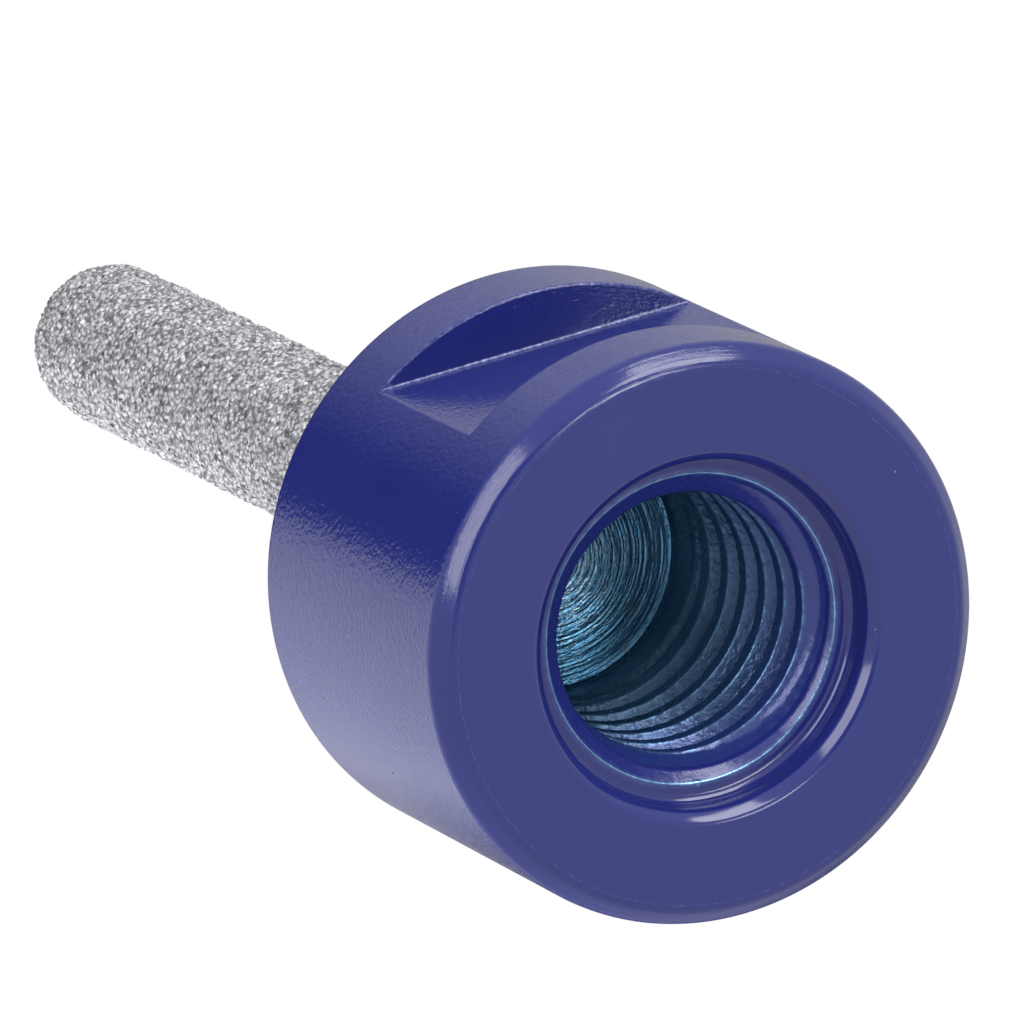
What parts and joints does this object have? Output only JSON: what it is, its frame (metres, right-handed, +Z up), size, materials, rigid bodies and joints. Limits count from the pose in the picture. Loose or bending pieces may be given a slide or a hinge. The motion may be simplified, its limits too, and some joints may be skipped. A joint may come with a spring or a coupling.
{
  "type": "diamond finger bit",
  "caption": "Grit-coated diamond finger brazed into a painted steel hub, which screws onto an M14 grinder spindle and has two spanner flats.",
  "frame": {"origin": "centre of the hub's mouth face, on which the bit stands", "axes": "+Z up the bit's axis from the mouth face to the finger's tip, the two spanner flats facing -Y and +Y"},
  "size_m": [0.027, 0.027, 0.0723],
  "materials": {
    "blue_paint": "glossy deep blue enamel over turned steel, thin and teal inside the threaded bore",
    "diamond_grit": "silver-grey vacuum-brazed diamond grit on a steel rod"
  },
  "bodies": {
    "root": {"threaded_hub": "blue_paint", "diamond_finger": "diamond_grit"}
  },
  "joints": []
}
